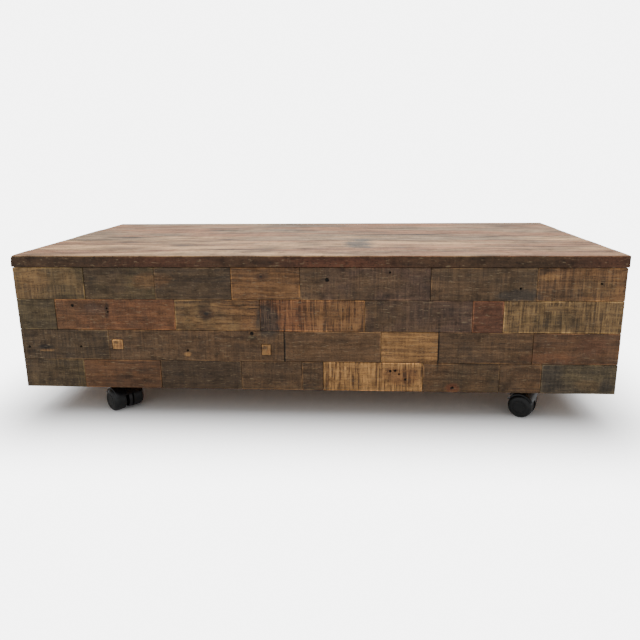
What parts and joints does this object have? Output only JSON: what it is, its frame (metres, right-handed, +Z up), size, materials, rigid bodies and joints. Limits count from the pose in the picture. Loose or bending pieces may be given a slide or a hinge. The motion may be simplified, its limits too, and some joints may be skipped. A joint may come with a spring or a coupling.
{
  "type": "storage chest",
  "caption": "Low rolling storage chest clad in courses of reclaimed wood blocks, with a hinged plank lid, folding lid stays and twin-wheel swivel casters.",
  "frame": {"origin": "on the floor, under the middle of the chest's outline", "axes": "+X along the chest's length to the right, +Y from the front to the hinged back, +Z up"},
  "size_m": [1.52, 0.725, 0.427],
  "materials": {
    "lid_wood": "worn reclaimed planks, matt wax",
    "block_wood": "reclaimed blocks in mixed tones, rough sawn, matt wax",
    "carcass_wood": "planed softwood board",
    "caster_hood": "moulded black nylon",
    "caster_wheel": "moulded black nylon, scuffed tread",
    "plate_steel": "black painted steel",
    "bright_steel": "zinc plated steel"
  },
  "bodies": {
    "chest_body": {"back_course_1": "block_wood", "back_course_2": "block_wood", "back_course_3": "block_wood", "back_course_4": "block_wood", "back_sill": "carcass_wood", "back_wall": "carcass_wood", "body_fixing_screws": "bright_steel", "bottom_panel": "carcass_wood", "caster_plates": "plate_steel", "caster_screws": "bright_steel", "corner_posts": "carcass_wood", "front_course_1": "block_wood", "front_course_2": "block_wood", "front_course_3": "block_wood", "front_course_4": "block_wood", "front_sill": "carcass_wood", "front_wall": "carcass_wood", "hinge_left_body_leaf": "plate_steel", "hinge_middle_body_leaf": "plate_steel", "hinge_pins": "bright_steel", "hinge_right_body_leaf": "plate_steel", "left_end_blocks": "block_wood", "left_wall": "carcass_wood", "right_end_blocks": "block_wood", "right_wall": "carcass_wood", "stay_wall_brackets": "plate_steel"},
    "lid": {"batten_screws": "bright_steel", "hinge_left_lid_leaf": "plate_steel", "hinge_middle_lid_leaf": "plate_steel", "hinge_right_lid_leaf": "plate_steel", "lid_batten_left": "carcass_wood", "lid_batten_middle": "carcass_wood", "lid_batten_right": "carcass_wood", "lid_fixing_screws": "bright_steel", "lid_plank_1": "lid_wood", "lid_plank_2": "lid_wood", "lid_plank_3": "lid_wood", "lid_plank_4": "lid_wood", "lid_plank_5": "lid_wood", "stay_lid_brackets": "plate_steel"},
    "caster_back_left": {"caster_back_left_axle": "bright_steel", "caster_back_left_hood": "caster_hood"},
    "caster_back_left_wheel_left": {"caster_back_left_wheel_left": "caster_wheel"},
    "caster_back_left_wheel_right": {"caster_back_left_wheel_right": "caster_wheel"},
    "caster_back_right": {"caster_back_right_axle": "bright_steel", "caster_back_right_hood": "caster_hood"},
    "caster_back_right_wheel_left": {"caster_back_right_wheel_left": "caster_wheel"},
    "caster_back_right_wheel_right": {"caster_back_right_wheel_right": "caster_wheel"},
    "caster_front_left": {"caster_front_left_axle": "bright_steel", "caster_front_left_hood": "caster_hood"},
    "caster_front_left_wheel_left": {"caster_front_left_wheel_left": "caster_wheel"},
    "caster_front_left_wheel_right": {"caster_front_left_wheel_right": "caster_wheel"},
    "caster_front_right": {"caster_front_right_axle": "bright_steel", "caster_front_right_hood": "caster_hood"},
    "caster_front_right_wheel_left": {"caster_front_right_wheel_left": "caster_wheel"},
    "caster_front_right_wheel_right": {"caster_front_right_wheel_right": "caster_wheel"},
    "stay_left_lower_arm": {"stay_left_lower_arm": "plate_steel"},
    "stay_left_upper_arm": {"stay_left_upper_arm": "plate_steel"},
    "stay_right_lower_arm": {"stay_right_lower_arm": "plate_steel"},
    "stay_right_upper_arm": {"stay_right_upper_arm": "plate_steel"}
  },
  "joints": [
    {"name": "lid_hinge", "type": "hinge", "parent": "chest_body", "child": "lid", "pos_m": [0, 0.3583, 0.398], "axis": [-1, 0, 0], "range_deg": [0, 90]},
    {"name": "stay_left_wall_pivot", "type": "hinge", "parent": "chest_body", "child": "stay_left_lower_arm", "pos_m": [-0.713, 0.2583, 0.183], "axis": [-1, 0, 0], "range_deg": [0, 90]},
    {"name": "stay_left_lid_pivot", "type": "hinge", "parent": "lid", "child": "stay_left_upper_arm", "pos_m": [-0.7095, 0.1533, 0.376], "axis": [-1, 0, 0], "range_deg": [-90, 0]},
    {"name": "stay_right_wall_pivot", "type": "hinge", "parent": "chest_body", "child": "stay_right_lower_arm", "pos_m": [0.713, 0.2583, 0.183], "axis": [-1, 0, 0], "range_deg": [0, 90]},
    {"name": "stay_right_lid_pivot", "type": "hinge", "parent": "lid", "child": "stay_right_upper_arm", "pos_m": [0.7095, 0.1533, 0.376], "axis": [-1, 0, 0], "range_deg": [-90, 0]},
    {"name": "caster_front_left_swivel", "type": "hinge", "parent": "chest_body", "child": "caster_front_left", "pos_m": [-0.532, -0.297, 0.077], "axis": [0, 0, 1], "continuous": true},
    {"name": "caster_front_left_wheel_left_spin", "type": "hinge", "parent": "caster_front_left", "child": "caster_front_left_wheel_left", "pos_m": [-0.49965, -0.28956, 0.0305], "axis": [0.6428, 0.766, 0], "continuous": true},
    {"name": "caster_front_left_wheel_right_spin", "type": "hinge", "parent": "caster_front_left", "child": "caster_front_left_wheel_right", "pos_m": [-0.53371, -0.33016, 0.0305], "axis": [0.6428, 0.766, 0], "continuous": true},
    {"name": "caster_front_right_swivel", "type": "hinge", "parent": "chest_body", "child": "caster_front_right", "pos_m": [0.532, -0.297, 0.077], "axis": [0, 0, 1], "continuous": true},
    {"name": "caster_front_right_wheel_left_spin", "type": "hinge", "parent": "caster_front_right", "child": "caster_front_right_wheel_left", "pos_m": [0.56185, -0.28247, 0.0305], "axis": [0.454, 0.891, 0], "continuous": true},
    {"name": "caster_front_right_wheel_right_spin", "type": "hinge", "parent": "caster_front_right", "child": "caster_front_right_wheel_right", "pos_m": [0.53779, -0.32969, 0.0305], "axis": [0.454, 0.891, 0], "continuous": true},
    {"name": "caster_back_left_swivel", "type": "hinge", "parent": "chest_body", "child": "caster_back_left", "pos_m": [-0.532, 0.29, 0.077], "axis": [0, 0, 1], "continuous": true},
    {"name": "caster_back_left_wheel_left_spin", "type": "hinge", "parent": "caster_back_left", "child": "caster_back_left_wheel_left", "pos_m": [-0.4988, 0.29056, 0.0305], "axis": [0.788, 0.6157, 0], "continuous": true},
    {"name": "caster_back_left_wheel_right_spin", "type": "hinge", "parent": "caster_back_left", "child": "caster_back_left_wheel_right", "pos_m": [-0.54057, 0.25793, 0.0305], "axis": [0.788, 0.6157, 0], "continuous": true},
    {"name": "caster_back_right_swivel", "type": "hinge", "parent": "chest_body", "child": "caster_back_right", "pos_m": [0.532, 0.29, 0.077], "axis": [0, 0, 1], "continuous": true},
    {"name": "caster_back_right_wheel_left_spin", "type": "hinge", "parent": "caster_back_right", "child": "caster_back_right_wheel_left", "pos_m": [0.56321, 0.30133, 0.0305], "axis": [0.5446, 0.8387, 0], "continuous": true},
    {"name": "caster_back_right_wheel_right_spin", "type": "hinge", "parent": "caster_back_right", "child": "caster_back_right_wheel_right", "pos_m": [0.53434, 0.25688, 0.0305], "axis": [0.5446, 0.8387, 0], "continuous": true}
  ],
  "couplings": [
    {"joint": "stay_left_wall_pivot", "follows": "lid_hinge", "ratio": 1},
    {"joint": "stay_left_lid_pivot", "follows": "lid_hinge", "ratio": -1},
    {"joint": "stay_right_wall_pivot", "follows": "lid_hinge", "ratio": 1},
    {"joint": "stay_right_lid_pivot", "follows": "lid_hinge", "ratio": -1}
  ]
}
